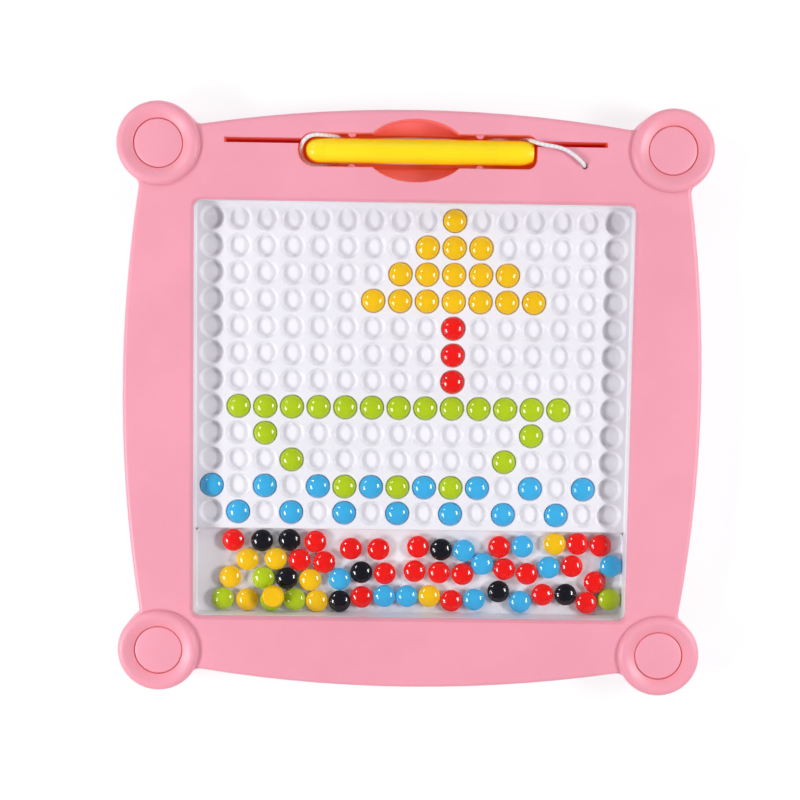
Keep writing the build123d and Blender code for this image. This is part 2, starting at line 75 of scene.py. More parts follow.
cameraSet = {
    "aim": (-0.0063, 0.0018, 0.020),
    "distance": 0.6468,
    "lens": 57.3,
    "tilt": 4.4,      # degrees towards the pen's edge
    "side": -0.46,    # degrees towards the right
    "roll": 0.82,     # degrees
}


def placeCamera(s):
    # Stands back from the aim along a line near the vertical, with its top edge turned by the roll.
    tilt, side, roll = (math.radians(s[k]) for k in ("tilt", "side", "roll"))
    back = Vector((math.sin(side), math.sin(tilt) * math.cos(side), math.cos(tilt) * math.cos(side)))
    back.normalize()
    right = Vector((-math.sin(roll), math.cos(roll), 0)).cross(back).normalized()
    up = back.cross(right)
    turn = Matrix((right, up, back)).transposed().to_4x4()
    data = bpy.data.cameras.new("studioCamera")
    data.lens = s["lens"]
    data.sensor_width = 36
    data.clip_start = 0.01
    camera = bpy.data.objects.new("studioCamera", data)
    camera.matrix_world = Matrix.Translation(Vector(s["aim"]) + back * s["distance"]) @ turn
    bpy.context.scene.collection.objects.link(camera)
    bpy.context.scene.camera = camera


lightSet = {
    # name: (direction from the board, distance, size, power in watts, whether it shows in gloss)
    "leftBox": ((-0.80, -0.26, 0.54), 1.25, (0.50, 0.20), 9.5, True),
    "leftStrip": ((-0.68, 0.48, 0.55), 1.25, (0.26, 0.10), 3.0, True),
    "rightBox": ((0.80, 0.02, 0.56), 1.25, (0.50, 0.20), 9.5, True),
    "farFill": ((0.05, 0.80, 0.60), 1.6, (1.2, 0.5), 5.0, False),
    "nearFill": ((0.0, -0.80, 0.60), 1.6, (1.2, 0.5), 4.6, False),
}
worldLight = {"colour": (0.93, 0.95, 1.0, 1), "strength": 0.16}
floorSet = {"size": 6.0, "colour": (0.93, 0.93, 0.94, 1), "glow": 0.80, "diffuse": 0.28}


def placeLights():
    for name, (direction, distance, size, power, inGloss) in lightSet.items():
        data = bpy.data.lights.new(name, "AREA")
        data.shape = "RECTANGLE"
        data.size, data.size_y = size
        data.energy = power
        away = Vector(direction).normalized()
        lamp = bpy.data.objects.new(name, data)
        turn = away.to_track_quat("Z", "Y").to_matrix().to_4x4()
        lamp.matrix_world = Matrix.Translation(away * distance) @ turn
        lamp.visible_glossy = inGloss
        bpy.context.scene.collection.objects.link(lamp)
    world = bpy.data.worlds.new("studioWorld")
    world.use_nodes = True
    ground = world.node_tree.nodes["Background"]
    ground.inputs["Color"].default_value = worldLight["colour"]
    ground.inputs["Strength"].default_value = worldLight["strength"]
    bpy.context.scene.world = world
    bpy.context.scene.view_settings.view_transform = "Standard"


placeCamera(cameraSet)
placeLights()
print("camera and lights placed")


def makePiece(name, verts, faces, smooth=True):
    # Puts arrays of corners, in metres, and faces into a new object at the origin.
    mesh = bpy.data.meshes.new(name)
    mesh.from_pydata(np.asarray(verts, float).tolist(), [], faces)
    mesh.polygons.foreach_set("use_smooth", np.full(len(mesh.polygons), smooth))
    mesh.update()
    piece = bpy.data.objects.new(name, mesh)
    bpy.context.scene.collection.objects.link(piece)
    return piece


def gridFaces(rows, columns, wrapRows=False, wrapColumns=True, start=0):
    # Quads between neighbours on a grid of rows by columns, each way closed on itself if it wraps.
    i = np.arange(rows if wrapRows else rows - 1)[:, None]
    j = np.arange(columns if wrapColumns else columns - 1)[None]
    up, over = (i + 1) % rows, (j + 1) % columns
    quads = [i * columns + j, i * columns + over, up * columns + over, up * columns + j]
    return start + np.stack(np.broadcast_arrays(*quads), -1).reshape(-1, 4)


def roundedProfile(corners, steps=5):
    # Straight lines through (radius, height, rounding) corners, each corner swapped for a tangent arc.
    points = np.array([c[:2] for c in corners], float)
    out = [points[:1]]
    for before, here, after, (_, _, radius) in zip(points, points[1:], points[2:], corners[1:-1]):
        a, b = before - here, after - here
        a, b = a / np.linalg.norm(a), b / np.linalg.norm(b)
        half = math.acos(np.clip(a @ b, -1, 1)) / 2
        if radius <= 0 or half < 1e-3 or half > math.pi / 2 - 1e-3:
            out.append(here[None])
            continue
        reach = radius / math.tan(half)
        middle = here + (a + b) / np.linalg.norm(a + b) * radius / math.sin(half)
        start, end = here + a * reach - middle, here + b * reach - middle
        whole = math.pi - 2 * half
        t = np.linspace(0, 1, steps)[:, None]
        arc = (np.sin((1 - t) * whole) * start + np.sin(t * whole) * end) / math.sin(whole)
        out.append(middle + arc)
    out.append(points[-1:])
    return np.vstack(out)


def swept(profile, angle):
    # Each profile point (r, h) at each angle a, as (r cos a, r sin a, h).
    r, h = profile[:, :1], profile[:, 1:]
    rings = np.stack([r * np.cos(angle), r * np.sin(angle), np.repeat(h, len(angle), 1)], -1)
    return rings.reshape(-1, 3)


def turned(profile, segments):
    # A profile of (radius, height) turned about z, x = r cos a and y = r sin a, closed by one point on the
    # axis at each end.
    angle = np.linspace(0, 2 * np.pi, segments, endpoint=False)
    rings = profile[1:-1]
    verts = np.vstack([[0, 0, profile[0, 1]], swept(rings, angle), [0, 0, profile[-1, 1]]])
    j = np.arange(segments)
    over = (j + 1) % segments
    last = 1 + (len(rings) - 1) * segments
    foot = np.stack([np.zeros(segments, int), 1 + over, 1 + j], -1)
    crown = np.stack([last + j, last + over, np.full(segments, len(verts) - 1)], -1)
    return verts, gridFaces(len(rings), segments, start=1).tolist() + foot.tolist() + crown.tolist()


def ringTurned(profile, segments):
    # A closed loop of (radius, height) turned about z, for a piece with a bore.
    angle = np.linspace(0, 2 * np.pi, segments, endpoint=False)
    return swept(profile, angle), gridFaces(len(profile), segments, wrapRows=True).tolist()


def joinShapes(shapes):
    # Several (verts, faces) as one, with the face numbers moved along.
    verts, faces, count = [], [], 0
    for v, f in shapes:
        verts.append(v)
        faces += [[k + count for k in face] for face in f]
        count += len(v)
    return np.vstack(verts), faces


def placed(shape, axis, spot):
    # The shape's z turned to the axis and its origin moved to the spot.
    turn = np.array(Vector((0, 0, 1)).rotation_difference(Vector(axis)).to_matrix())
    return shape[0] @ turn.T + np.asarray(spot), shape[1]


def weldedMesh(node):
    # The node's own corners and triangles, with the corners that share one spot joined.
    mesh = nodes[node].data
    corners = np.zeros(len(mesh.vertices) * 3)
    mesh.vertices.foreach_get("co", corners)
    triangles = np.zeros(len(mesh.loops), int)
    mesh.loops.foreach_get("vertex_index", triangles)
    weld = 1e-6
    spots, same = np.unique(np.round(corners.reshape(-1, 3) / weld), axis=0, return_inverse=True)
    triangles = same.ravel()[triangles].reshape(-1, 3)
    a, b, c = triangles.T
    return spots * weld, triangles[(a != b) & (b != c) & (c != a)]


def weldedCopy(node, name, sharpAngle=32):
    # The node's own shape with joined corners, so that its rounds shade smoothly.
    spots, triangles = weldedMesh(node)
    piece = makePiece(name, spots, triangles.tolist())
    piece.data.set_sharp_from_angle(angle=math.radians(sharpAngle))
    even = piece.modifiers.new("evenNormals", "WEIGHTED_NORMAL")
    even.keep_sharp = True
    even.weight = 60
    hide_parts(node)
    return piece


def finishPiece(piece, body, material, slot, *replaced):
    # Gives a piece its material, the body that it rides on, and the nodes that it replaces. The slot is not used.
    piece.data.materials.append(material)
    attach(piece, body)
    if replaced:
        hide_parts(*replaced)
    return piece


def addSocket(group, name, kind, way, value=None):
    socket = group.interface.new_socket(name=name, in_out=way, socket_type="NodeSocket" + kind)
    if value is not None:
        socket.default_value = value


def newNode(tree, kind, **settings):
    node = tree.nodes.new("ShaderNode" + kind)
    for key, value in settings.items():
        setattr(node, key, value)
    return node


def setInputs(node, **values):
    for key, value in values.items():
        node.inputs[key].default_value = value


def colourRamp(tree, stops):
    # A ramp through (position, colour) stops, in order.
    ramp = newNode(tree, "ValToRGB")
    points = ramp.color_ramp.elements
    while len(points) < len(stops):
        points.new(1.0)
    for point, (position, colour) in zip(points, stops):
        point.position = position
        point.color = (*colour, 1)
    return ramp


mouldedSet = {
    "driftScale": 22.0,
    "driftBand": (0.35, 0.65),      # of the noise, from the darkest to the lightest
    "roughDrift": 0.10,
    "scuffTurn": 0.6,               # radians
    "scuffStretch": (14.0, 260.0, 60.0),
    "scuffBand": (0.66, 0.74),      # of the noise, from no scuff to a whole one
    "scuffDepth": -0.6,
}


def makeMouldedGroup():
    # Moulded plastic: slow drifts of colour and gloss, a fine grain, and a few hairline scuffs.
    s = mouldedSet
    group = bpy.data.node_groups.new("mouldedPlastic", "ShaderNodeTree")
    addSocket(group, "Color", "Color", "INPUT", (1, 1, 1, 1))
    addSocket(group, "Drift", "Float", "INPUT", 0.03)
    addSocket(group, "Gloss", "Float", "INPUT", 0.25)
    addSocket(group, "Grain Scale", "Float", "INPUT", 3000.0)
    addSocket(group, "Scuffs", "Float", "INPUT", 0.1)
    addSocket(group, "Color", "Color", "OUTPUT")
    addSocket(group, "Roughness", "Float", "OUTPUT")
    addSocket(group, "Height", "Float", "OUTPUT")
    link = group.links.new
    given = group.nodes.new("NodeGroupInput")
    out = group.nodes.new("NodeGroupOutput")
    place = newNode(group, "TexCoord")
    slow = newNode(group, "TexNoise")
    setInputs(slow, Scale=s["driftScale"], Detail=3.0, Roughness=0.55)
    fine = newNode(group, "TexNoise")
    setInputs(fine, Detail=2.0, Roughness=0.6)
    stretch = newNode(group, "Mapping")
    setInputs(stretch, Rotation=(0, 0, s["scuffTurn"]), Scale=s["scuffStretch"])
    hair = newNode(group, "TexNoise")
    setInputs(hair, Scale=1.0, Detail=4.0, Roughness=0.7)
    link(place.outputs["Object"], slow.inputs["Vector"])
    link(place.outputs["Object"], fine.inputs["Vector"])
    link(place.outputs["Object"], stretch.inputs["Vector"])
    link(stretch.outputs["Vector"], hair.inputs["Vector"])
    link(given.outputs["Grain Scale"], fine.inputs["Scale"])
    hairMask = newNode(group, "MapRange", clamp=True)
    setInputs(hairMask, **{"From Min": s["scuffBand"][0], "From Max": s["scuffBand"][1]})
    link(hair.outputs["Fac"], hairMask.inputs["Value"])
    scuff = newNode(group, "Math", operation="MULTIPLY")
    link(hairMask.outputs["Result"], scuff.inputs[0])
    link(given.outputs["Scuffs"], scuff.inputs[1])
    shade = newNode(group, "MapRange", clamp=True)
    setInputs(shade, **{"From Min": s["driftBand"][0], "From Max": s["driftBand"][1]})
    setInputs(shade, **{"To Min": -1.0, "To Max": 1.0})
    link(slow.outputs["Fac"], shade.inputs["Value"])
    amount = newNode(group, "Math", operation="MULTIPLY_ADD")
    link(shade.outputs["Result"], amount.inputs[0])
    link(given.outputs["Drift"], amount.inputs[1])
    amount.inputs[2].default_value = 1.0
    tint = newNode(group, "HueSaturation")
    link(amount.outputs["Value"], tint.inputs["Value"])
    link(given.outputs["Color"], tint.inputs["Color"])
    link(tint.outputs["Color"], out.inputs["Color"])
    rough = newNode(group, "Math", operation="MULTIPLY_ADD")
    link(slow.outputs["Fac"], rough.inputs[0])
    rough.inputs[1].default_value = s["roughDrift"]
    link(given.outputs["Gloss"], rough.inputs[2])
    rougher = newNode(group, "Math", operation="ADD", use_clamp=True)
    link(rough.outputs["Value"], rougher.inputs[0])
    link(scuff.outputs["Value"], rougher.inputs[1])
    link(rougher.outputs["Value"], out.inputs["Roughness"])
    height = newNode(group, "Math", operation="MULTIPLY_ADD")
    link(scuff.outputs["Value"], height.inputs[0])
    height.inputs[1].default_value = s["scuffDepth"]
    link(fine.outputs["Fac"], height.inputs[2])
    link(height.outputs["Value"], out.inputs["Height"])
    return group


mouldedGroup = makeMouldedGroup()


def newMaterial(name):
    material = bpy.data.materials.new(name)
    material.use_nodes = True
    tree = material.node_tree
    return material, tree, tree.nodes["Principled BSDF"]


pocketDulling = 0.5       # added to the roughness where the mask for painted shade is 1
lightThrough = {"Subsurface Scale": 0.006, "Subsurface Radius": (1, 0.12, 0.16)}


def plastic(name, colour, gloss, drift=0.03, grain=3000.0, scuffs=0.08, bump=0.05, coat=0.0, soft=0.0,
            paintedShadeStops=()):
    # A moulded plastic whose colour, roughness and bump come from the shared group. With stops of painted shade,
    # each a mask value, a colour and a glow, it turns to them where the piece's mask attribute for its pockets
    # rises: painted shade and a painted glow in recesses, standing in for the shade there and for light that
    # comes through thin walls. The roughness rises there too.
    material, tree, shader = newMaterial(name)
    group = tree.nodes.new("ShaderNodeGroup")
    group.node_tree = mouldedGroup
    setInputs(group, **{"Color": (*colour, 1), "Gloss": gloss, "Grain Scale": grain})
    setInputs(group, Drift=drift, Scuffs=scuffs)
    relief = newNode(tree, "Bump")
    setInputs(relief, Strength=bump, Distance=0.0002)
    tree.links.new(group.outputs["Height"], relief.inputs["Height"])
    tree.links.new(group.outputs["Color"], shader.inputs["Base Color"])
    tree.links.new(group.outputs["Roughness"], shader.inputs["Roughness"])
    tree.links.new(relief.outputs["Normal"], shader.inputs["Normal"])
    setInputs(shader, **{"Coat Weight": coat, "Coat Roughness": 0.05})
    if paintedShadeStops:
        # painted shade and painted glow: darker colours and an emission where the mask attribute rises in the
        # recesses
        paintedShade = newNode(tree, "Attribute", attribute_name="paintedShade")
        blend = colourRamp(tree, [(0, colour)] + [(at, shade) for at, shade, _ in paintedShadeStops])
        glow = colourRamp(tree, [(0, (0, 0, 0))] + [(at, light) for at, _, light in paintedShadeStops])
        duller = newNode(tree, "Math", operation="MULTIPLY_ADD", use_clamp=True)
        duller.inputs[1].default_value = pocketDulling
        for node in (blend, glow):
            tree.links.new(paintedShade.outputs["Fac"], node.inputs["Fac"])
        tree.links.new(paintedShade.outputs["Fac"], duller.inputs[0])
        tree.links.new(group.outputs["Roughness"], duller.inputs[2])
        tree.links.new(duller.outputs["Value"], shader.inputs["Roughness"])
        tree.links.new(blend.outputs["Color"], group.inputs["Color"])
        tree.links.new(glow.outputs["Color"], shader.inputs["Emission Color"])
        shader.inputs["Emission Strength"].default_value = 1.0
    if soft:
        setInputs(shader, **{"Subsurface Weight": soft}, **lightThrough)
    return material


def brushedMetal(name, colour, rough, stretchScale):
    # Fine parallel drawing lines in the bump, and in the roughness from its lowest to its highest value.
    material, tree, shader = newMaterial(name)
    place = newNode(tree, "TexCoord")
    stretch = newNode(tree, "Mapping")
    stretch.inputs["Scale"].default_value = stretchScale
    lines = newNode(tree, "TexNoise")
    setInputs(lines, Scale=1.0, Detail=3.0)
    level = newNode(tree, "MapRange")
    setInputs(level, **{"To Min": rough[0], "To Max": rough[1]})
    relief = newNode(tree, "Bump")
    setInputs(relief, Strength=0.15, Distance=0.00005)
    tree.links.new(place.outputs["Object"], stretch.inputs["Vector"])
    tree.links.new(stretch.outputs["Vector"], lines.inputs["Vector"])
    tree.links.new(lines.outputs["Fac"], level.inputs["Value"])
    tree.links.new(level.outputs["Result"], shader.inputs["Roughness"])
    tree.links.new(lines.outputs["Fac"], relief.inputs["Height"])
    tree.links.new(relief.outputs["Normal"], shader.inputs["Normal"])
    setInputs(shader, **{"Base Color": (*colour, 1), "Metallic": 1.0})
    return material


clearSet = {
    "colour": (0.85, 0.87, 0.90, 1), "film": 0.008, "edgeFilm": 0.6, "grazingPower": 4.0,
    "smearScale": 35.0, "rough": (0.02, 0.09),
}


def clearSheet(name, s):
    # A thin clear sheet: it shows by its gloss, more so at a grazing view, and by a few faint smears. Its
    # alpha is the film plus the edge film times a power of how far it faces away.
    material, tree, shader = newMaterial(name)
    edge = newNode(tree, "LayerWeight")
    edge.inputs["Blend"].default_value = 0.5
    grazing = newNode(tree, "Math", operation="POWER")
    tree.links.new(edge.outputs["Facing"], grazing.inputs[0])
    grazing.inputs[1].default_value = s["grazingPower"]
    place = newNode(tree, "TexCoord")
    smear = newNode(tree, "TexNoise")
    setInputs(smear, Scale=s["smearScale"], Detail=5.0, Roughness=0.6)
    tree.links.new(place.outputs["Object"], smear.inputs["Vector"])
    rough = newNode(tree, "MapRange")
    setInputs(rough, **{"To Min": s["rough"][0], "To Max": s["rough"][1]})
    tree.links.new(smear.outputs["Fac"], rough.inputs["Value"])
    tree.links.new(rough.outputs["Result"], shader.inputs["Roughness"])
    film = newNode(tree, "Math", operation="MULTIPLY_ADD", use_clamp=True)
    tree.links.new(grazing.outputs["Value"], film.inputs[0])
    film.inputs[1].default_value = s["edgeFilm"]
    film.inputs[2].default_value = s["film"]
    tree.links.new(film.outputs["Value"], shader.inputs["Alpha"])
    setInputs(shader, **{"Base Color": s["colour"], "Metallic": 1.0})
    return material


yarnSet = {
    "colour": (0.96, 0.95, 0.98),
    "shade": (0.72, 0.71, 0.74),     # share of the colour between the fibres
    "fibreBand": (0.3, 0.62),        # of the noise, from shade to colour
    "fibreStretch": (60.0, 9.0, 1.0),
    "gapBand": (0.70, 0.92),         # of the crest, from a gap to the top of a strand
    # painted shade: the yarn's value in the gaps between strands
    "gapPaintedShade": 0.75,
}


def braidMaterial(name, s):
    # White yarn: fibres that run with the braid's own map, painted shade in the gaps between strands, and soft
    # sheen.
    material, tree, shader = newMaterial(name)
    place = newNode(tree, "UVMap")
    stretch = newNode(tree, "Mapping")
    stretch.inputs["Scale"].default_value = s["fibreStretch"]
    fibre = newNode(tree, "TexNoise")
    setInputs(fibre, Scale=1.0, Detail=3.0, Roughness=0.7)
    dark = [c * k for c, k in zip(s["colour"], s["shade"])]
    shade = colourRamp(tree, [(s["fibreBand"][0], dark), (s["fibreBand"][1], s["colour"])])
    relief = newNode(tree, "Bump")
    setInputs(relief, Strength=0.5, Distance=0.0001)
    tree.links.new(place.outputs["UV"], stretch.inputs["Vector"])
    tree.links.new(stretch.outputs["Vector"], fibre.inputs["Vector"])
    tree.links.new(fibre.outputs["Fac"], shade.inputs["Fac"])
    # painted shade: the yarn turns darker where the crest is low, between strands
    crest = newNode(tree, "Attribute", attribute_name="crest")
    gap = newNode(tree, "MapRange", clamp=True)
    setInputs(gap, **{"From Min": s["gapBand"][0], "From Max": s["gapBand"][1], "To Min": s["gapPaintedShade"]})
    tint = newNode(tree, "HueSaturation")
    tree.links.new(crest.outputs["Fac"], gap.inputs["Value"])
    tree.links.new(gap.outputs["Result"], tint.inputs["Value"])
    tree.links.new(shade.outputs["Color"], tint.inputs["Color"])
    tree.links.new(tint.outputs["Color"], shader.inputs["Base Color"])
    tree.links.new(fibre.outputs["Fac"], relief.inputs["Height"])
    tree.links.new(relief.outputs["Normal"], shader.inputs["Normal"])
    setInputs(shader, **{"Roughness": 0.72, "Sheen Weight": 0.35, "Sheen Roughness": 0.4})
    return material


pink = (0.85, 0.335, 0.425)
# Painted shade and a painted glow for the frame's recesses, card slot and cap seats.
pinkPaintedShade = [
    # mask value, painted shade colour, painted glow
    (0.3, (0.82, 0.21, 0.23), (0.17, 0.024, 0.018)),
    (0.8, (0.62, 0.08, 0.04), (0.20, 0.02, 0.0)),
    (1.0, (0.46, 0.010, 0.018), (0.13, 0.001, 0.003)),
]
pinkMould = {"drift": 0.025, "grain": 2200.0, "bump": 0.06, "soft": 0.15}
beadColours = {
    "yellowBead": (0.90, 0.53, 0.003),
    "redBead": (0.86, 0.006, 0.004),
    "greenBead": (0.44, 0.60, 0.008),
    "blueBead": (0.045, 0.43, 0.79),
    "blackBead": (0.004, 0.004, 0.008),
}
boardMould = {"drift": 0.015, "grain": 1500.0, "bump": 0.03, "scuffs": 0.05}
penMould = {"drift": 0.02, "grain": 2500.0, "bump": 0.02, "soft": 0.08}
rubberMould = {"drift": 0.05, "grain": 1800.0, "bump": 0.3, "scuffs": 0.15}
finishes = {
    "pinkCase": plastic("pinkCase", pink, 0.36, **pinkMould),
    # the frame's pink, with painted shade and a painted glow in its recesses
    "pinkFrameWithPaintedShade": plastic("pinkFrameWithPaintedShade", pink, 0.36, paintedShadeStops=pinkPaintedShade, **pinkMould),
    "whiteBoard": plastic("whiteBoard", (0.84, 0.82, 0.87), 0.20, **boardMould),
    "yellowPen": plastic("yellowPen", (0.98, 0.72, 0.006), 0.32, **penMould),
    "footRubber": plastic("footRubber", (0.72, 0.71, 0.70), 0.62, **rubberMould),
    "coreSteel": brushedMetal("coreSteel", (0.52, 0.52, 0.53), (0.26, 0.44), (300.0, 2600.0, 2600.0)),
    "screwSteel": brushedMetal("screwSteel", (0.62, 0.62, 0.63), (0.20, 0.38), (1500.0, 1500.0, 300.0)),
    "magnetNickel": brushedMetal("magnetNickel", (0.68, 0.66, 0.62), (0.10, 0.28), (3000.0, 300.0, 300.0)),
    "clearWindow": clearSheet("clearWindow", clearSet),
    "whiteCord": braidMaterial("whiteCord", yarnSet),
}
for beadName, beadColour in beadColours.items():
    finishes[beadName] = plastic(beadName, beadColour, 0.10, bump=0.01, scuffs=0.04, coat=0.15)
print("finishes made")


cordSet = {
    "radius": 1.0,        # mm
    "strands": 8,         # crests round the cord, each way
    "lay": 4.6,           # mm along the cord for one crest to move round by its own width twice
    "relief": 0.17,       # share of the radius
    "around": 40,
    "step": 0.35,         # mm
    "slant": (0.48, -0.62, 0.62),
    "route": [            # mm, from the knot under the frame to the knot in the pen
        (84.9, 120.7, 15.6), (84.9, 120.7, 21.0), (80.3, 125.3, 20.9), (73.2, 129.6, 20.8),
        (62.4, 130.9, 21.8), (58.4, 132.9, 18.9), (56.6, 134.3, 12.6), (50.2, 134.0, 8.0),
        (43.8, 134.2, 8.9), (38.0, 134.0, 9.2), (32.0, 132.2, 7.0), (21.0, 133.7, 6.35),
        (7.0, 134.2, 6.3), (-8.0, 134.2, 6.35), (-21.0, 133.4, 6.35), (-31.5, 132.5, 6.4),
        (-36.8, 133.7, 8.0), (-40.6, 134.55, 12.5), (-45.0, 134.55, 17.2), (-53.2, 134.5, 19.6),
        (-58.1, 130.0, 16.8), (-58.1, 124.0, 12.0), (-53.8, 120.0, 8.0), (-46.0, 120.9, 6.5),
        (-34.0, 122.6, 6.3), (-20.0, 122.5, 6.3), (-6.0, 122.2, 6.3), (8.0, 122.6, 6.35),
        (20.0, 123.2, 6.3), (32.0, 123.3, 6.3), (43.0, 124.6, 6.35), (53.2, 127.2, 6.4),
        (53.2, 127.2, 12.0),
    ],
    "length": 290.0,      # mm
    "blendFrom": (0.087, 0.127, 0.020),
    "blendTo": (0.057, 0.127, 0.020),
}


def smoothLine(route):
    # The route's points are the control points of a quadratic NURBS curve, read back as a line of points.
    data = bpy.data.curves.new("cordLine", "CURVE")
    data.dimensions = "3D"
    spline = data.splines.new("NURBS")
    spline.points.add(len(route) - 1)
    for point, (x, y, z) in zip(spline.points, route):
        point.co = (x * mm, y * mm, z * mm, 1)
    spline.order_u = 3
    spline.use_endpoint_u = True
    data.resolution_u = 24
    line = bpy.data.objects.new("cordLine", data)
    bpy.context.scene.collection.objects.link(line)
    mesh = bpy.data.meshes.new_from_object(line)
    points = np.zeros(len(mesh.vertices) * 3)
    mesh.vertices.foreach_get("co", points)
    bpy.data.objects.remove(line)
    points = points.reshape(-1, 3)
    kept = np.linalg.norm(np.diff(points, axis=0), axis=1) > 1e-7
    return np.vstack([points[:1], points[1:][kept]])


def evenSteps(line, step):
    # The same line with points a fixed step apart.
    run = np.concatenate([[0], np.cumsum(np.linalg.norm(np.diff(line, axis=0), axis=1))])
    places = np.linspace(0, run[-1], max(2, int(run[-1] / step)))
    return np.stack([np.interp(places, run, line[:, k]) for k in range(3)], 1), places


def carriedFrames(path, slant):
    # Side directions along a path: its tangent crossed with one slant that the route never follows, with the
    # turning of that about the path taken back out.
    tangent = np.gradient(path, axis=0)
    tangent /= np.linalg.norm(tangent, axis=1)[:, None]
    first = np.cross(tangent, slant)
    first /= np.linalg.norm(first, axis=1)[:, None]
    ahead = first[:-1] - tangent[1:] * np.sum(first[:-1] * tangent[1:], 1)[:, None]
    turn = np.arctan2(np.sum(np.cross(ahead, first[1:]) * tangent[1:], 1), np.sum(ahead * first[1:], 1))
    twist = -np.concatenate([[0], np.cumsum(turn)])[:, None]
    side = np.cos(twist) * first + np.sin(twist) * np.cross(tangent, first)
    return side, np.cross(tangent, side)


def braidedTube(path, places, s, name):
    # A tube whose radius rises where either of two sets of opposite helices has a strand:
    # r = R (1 - relief + relief max(|cos u|, |cos v|)), with u and v half of strands a plus and minus the lay.
    side, other = carriedFrames(path, s["slant"])
    angle = np.linspace(0, 2 * np.pi, s["around"], endpoint=False)[None]
    along = (places / mm * 2 * np.pi / s["lay"])[:, None]
    u, v = (s["strands"] * angle + along) / 2, (s["strands"] * angle - along) / 2
    crest = np.maximum(np.abs(np.cos(u)), np.abs(np.cos(v)))
    radius = s["radius"] * mm * (1 - s["relief"] + s["relief"] * crest)
    out = side[:, None] * np.cos(angle)[..., None] + other[:, None] * np.sin(angle)[..., None]
    verts = (path[:, None] + radius[..., None] * out).reshape(-1, 3)
    count = s["around"]
    faces = gridFaces(len(path), count).tolist()
    ends = [path[0], path[-1]]
    j = np.arange(count)
    over = (j + 1) % count
    last = (len(path) - 1) * count
    faces += np.stack([np.full(count, len(verts)), over, j], -1).tolist()
    faces += np.stack([np.full(count, len(verts) + 1), last + j, last + over], -1).tolist()
    piece = makePiece(name, np.vstack([verts, ends]), faces)
    markCrest(piece, np.concatenate([crest.ravel(), [1, 1]]))
    layMap(piece, np.concatenate([np.tile(angle[0], len(path)), [0, 0]]) / (2 * np.pi),
           np.concatenate([np.repeat(places / mm, count), [0, places[-1] / mm]]))
    return piece


def markCrest(piece, crest):
    # How near each corner is to the top of a strand, for the painted shade in the gaps between strands.
    mark = piece.data.attributes.new("crest", "FLOAT", "POINT")
    mark.data.foreach_set("value", crest.astype(np.float32))


def layMap(piece, u, v):
    # A map from values at the corners, with the seam's last column carried past one whole turn.
    mesh = piece.data
    corner = np.zeros(len(mesh.loops), int)
    mesh.loops.foreach_get("vertex_index", corner)
    start = np.zeros(len(mesh.polygons), int)
    total = np.zeros(len(mesh.polygons), int)
    mesh.polygons.foreach_get("loop_start", start)
    mesh.polygons.foreach_get("loop_total", total)
    owner = np.repeat(np.arange(len(total)), total)
    around = u[corner]
    widest = np.zeros(len(total))
    np.maximum.at(widest, owner, around)
    around = np.where(widest[owner] - around > 0.5, around + 1, around)
    layer = mesh.uv_layers.new(name="braidMap")
    layer.data.foreach_set("uv", np.stack([around, v[corner]], 1).ravel().astype(np.float32))


def makeCord():
    line = smoothLine(cordSet["route"])
    path, places = evenSteps(line, cordSet["step"] * mm)
    cord = braidedTube(path, places, cordSet, "braidedCord")
    cord.data.materials.append(finishes["whiteCord"])
    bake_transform(cord)
    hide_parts("pen_cord")
    print("cord made,", round(float(places[-1] / mm), 1), "mm")


knotSet = {
    # mm, and rise is a share of the swing
    "ring": 0.95, "swing": 0.45, "strand": 0.8, "rise": 1.6, "strands": 8, "relief": 0.1, "around": 20,
    "mapStep": 0.2,
}


def makeKnot(node, body):
    # An overhand knot as a trefoil: x = r cos 2t, y = r sin 2t, where r and the height swing three times in
    # two turns, with the cord's crests along it.
    s = knotSet
    low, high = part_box(node)
    t = np.linspace(0, 2 * np.pi, 180, endpoint=False)
    reach = s["ring"] + s["swing"] * np.cos(3 * t)
    rise = s["rise"] * s["swing"] * np.sin(3 * t)
    path = np.stack([reach * np.cos(2 * t), reach * np.sin(2 * t), rise], 1) * mm
    tangent = np.roll(path, -1, 0) - np.roll(path, 1, 0)
    tangent /= np.linalg.norm(tangent, axis=1)[:, None]
    side = np.cross(tangent, (0, 0, 1))
    side /= np.linalg.norm(side, axis=1)[:, None]
    other = np.cross(tangent, side)
    angle = np.linspace(0, 2 * np.pi, s["around"], endpoint=False)[None]
    along = np.arange(len(t))[:, None]
    u, v = (s["strands"] * angle + along) / 2, (s["strands"] * angle - along) / 2
    crest = np.maximum(np.abs(np.cos(u)), np.abs(np.cos(v)))
    radius = s["strand"] * mm * (1 - s["relief"] + s["relief"] * crest)
    out = side[:, None] * np.cos(angle)[..., None] + other[:, None] * np.sin(angle)[..., None]
    verts = (path[:, None] + radius[..., None] * out).reshape(-1, 3) + np.array((low + high) / 2)
    piece = makePiece(node + "Tied", verts, gridFaces(len(t), s["around"], wrapRows=True).tolist())
    markCrest(piece, crest.ravel())
    around = np.tile(angle[0], len(t)) / (2 * np.pi)
    layMap(piece, around, np.repeat(np.arange(len(t)) * s["mapStep"], s["around"]))
    finishPiece(piece, body, finishes["whiteCord"], "white_cord", node)


makeCord()
makeKnot("cord_knot", "board")
makeKnot("pen_knot", "pen")


boardSet = {
    "columns": 16, "rows": 12,
    "bead": 11.6, "pitchRatio": 1.1853,
    "mouthGap": 0.65, "floorGap": 0.3, "baseRadius": 4.9,
    "depth": 2.7, "rimRound": 0.5, "floorRound": 0.9,
    "sideMargin": 1.5, "topMargin": 1.4, "ledgeMargin": 1.9,
    "wall": 1.5, "wallRound": 0.5, "corner": 4.0, "brow": 0.8, "fillet": 0.9,
    "plate": 6.5,         # its top above the board's foot
    "trayDepth": 4.8,
    "tuck": 0.4,          # how far the plate and the tray reach into the walls
    "floorRing": 0.45,    # share of the dimple's floor inside the last ring
    "perSide": 8, "arcSteps": 9, "sideSteps": 10, "filletSteps": 5,
}


